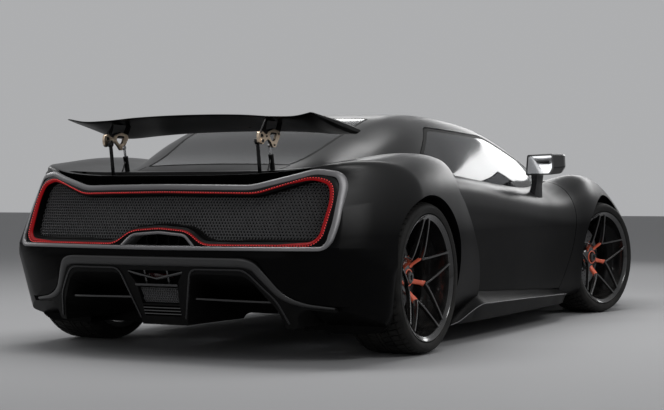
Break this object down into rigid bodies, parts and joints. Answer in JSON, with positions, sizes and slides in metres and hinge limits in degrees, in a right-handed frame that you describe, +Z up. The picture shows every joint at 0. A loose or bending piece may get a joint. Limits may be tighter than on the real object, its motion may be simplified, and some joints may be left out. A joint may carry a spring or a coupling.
{
  "type": "hypercar",
  "caption": "Low mid-engined two-seat hypercar with opening doors and front lid, steered front wheels, tilting rear wing and a deep finned diffuser.",
  "frame": {"origin": "on the ground under the middle of the car's length, on its centre line", "axes": "+X towards the nose, +Y to the car's left, +Z up"},
  "size_m": [4.6, 2.0826, 1.16],
  "materials": {
    "body_paint": "satin black",
    "gloss_black": "gloss black",
    "dark_plastic": "matt black",
    "grey_trim": "satin grey",
    "red_light": "translucent red",
    "lamp_glass": "clear",
    "tinted_glass": "tinted",
    "gold_metal": "satin champagne",
    "tyre": "matt",
    "wheel_metal": "gloss black",
    "brake_steel": "machined",
    "cast_metal": "cast",
    "dark_steel": "satin",
    "interior_leather": "matt"
  },
  "bodies": {
    "chassis": {"dashboard": "interior_leather", "diffuser": "gloss_black", "engine": "cast_metal", "engine_cover": "gloss_black", "exhaust_outlet": "grey_trim", "front_clam": "body_paint", "front_grilles": "dark_plastic", "front_splitter": "gloss_black", "headlamps": "lamp_glass", "knuckles_rear": "cast_metal", "rear_clam": "body_paint", "rear_glass": "tinted_glass", "rear_subframe": "dark_steel", "roof": "body_paint", "seats": "interior_leather", "side_skirts": "gloss_black", "steering_wheel": "interior_leather", "suspension_arms": "dark_steel", "tail_light": "red_light", "tail_panel": "dark_plastic", "tail_surround": "grey_trim", "tub": "dark_plastic", "windscreen": "tinted_glass", "wing_struts": "dark_steel"},
    "front_lid": {"front_lid": "body_paint"},
    "wing": {"wing": "gloss_black", "wing_brackets": "gold_metal"},
    "ram_left": {"ram_rod_left": "brake_steel"},
    "ram_right": {"ram_rod_right": "brake_steel"},
    "door_left": {"door_left": "body_paint", "door_glass_left": "tinted_glass", "mirror_left": "gloss_black"},
    "steering_left": {"knuckle_front_left": "cast_metal"},
    "wheel_front_left": {"tyre_front_left": "tyre", "rim_front_left": "wheel_metal", "disc_front_left": "brake_steel"},
    "wheel_rear_left": {"tyre_rear_left": "tyre", "rim_rear_left": "wheel_metal", "disc_rear_left": "brake_steel"},
    "door_right": {"door_right": "body_paint", "door_glass_right": "tinted_glass", "mirror_right": "gloss_black"},
    "steering_right": {"knuckle_front_right": "cast_metal"},
    "wheel_front_right": {"tyre_front_right": "tyre", "rim_front_right": "wheel_metal", "disc_front_right": "brake_steel"},
    "wheel_rear_right": {"tyre_rear_right": "tyre", "rim_rear_right": "wheel_metal", "disc_rear_right": "brake_steel"}
  },
  "joints": [
    {"name": "steer_right", "type": "hinge", "parent": "chassis", "child": "steering_right", "pos_m": [1.29, -0.7395, 0.34], "axis": [0, 0, 1], "range_deg": [-16, 44]},
    {"name": "steer_left", "type": "hinge", "parent": "chassis", "child": "steering_left", "pos_m": [1.29, 0.7395, 0.34], "axis": [0, 0, 1], "range_deg": [-16, 44]},
    {"name": "spin_front_left", "type": "hinge", "parent": "steering_left", "child": "wheel_front_left", "pos_m": [1.31552, 0.84187, 0.34], "axis": [0.2419, 0.9703, 0], "continuous": true},
    {"name": "spin_front_right", "type": "hinge", "parent": "steering_right", "child": "wheel_front_right", "pos_m": [1.26448, -0.84187, 0.34], "axis": [0.2419, 0.9703, 0], "continuous": true},
    {"name": "spin_rear_left", "type": "hinge", "parent": "chassis", "child": "wheel_rear_left", "pos_m": [-1.51, 0.853, 0.35], "axis": [0, 1, 0], "continuous": true},
    {"name": "spin_rear_right", "type": "hinge", "parent": "chassis", "child": "wheel_rear_right", "pos_m": [-1.51, -0.853, 0.35], "axis": [0, 1, 0], "continuous": true},
    {"name": "door_left_hinge", "type": "hinge", "parent": "chassis", "child": "door_left", "pos_m": [0.77, 0.925, 0.45], "axis": [0, 0, -1], "range_deg": [0, 62]},
    {"name": "door_right_hinge", "type": "hinge", "parent": "chassis", "child": "door_right", "pos_m": [0.77, -0.925, 0.45], "axis": [0, 0, 1], "range_deg": [0, 62]},
    {"name": "front_lid_hinge", "type": "hinge", "parent": "chassis", "child": "front_lid", "pos_m": [1.405, 0, 0.7125], "axis": [0, -1, 0], "range_deg": [0, 65]},
    {"name": "wing_tilt", "type": "hinge", "parent": "chassis", "child": "wing", "pos_m": [-2.046, 0, 0.971], "axis": [0, 1, 0], "range_deg": [-12, 6]},
    {"name": "ram_left_slide", "type": "slide", "parent": "chassis", "child": "ram_left", "axis": [-0.23, 0, 0.9732], "range_m": [-0.012, 0.023]},
    {"name": "ram_right_slide", "type": "slide", "parent": "chassis", "child": "ram_right", "axis": [-0.23, 0, 0.9732], "range_m": [-0.012, 0.023]}
  ],
  "couplings": [
    {"joint": "steer_left", "follows": "steer_right", "ratio": 1},
    {"joint": "ram_left_slide", "follows": "wing_tilt", "m_per_rad": -0.1036},
    {"joint": "ram_right_slide", "follows": "wing_tilt", "m_per_rad": -0.1036}
  ]
}
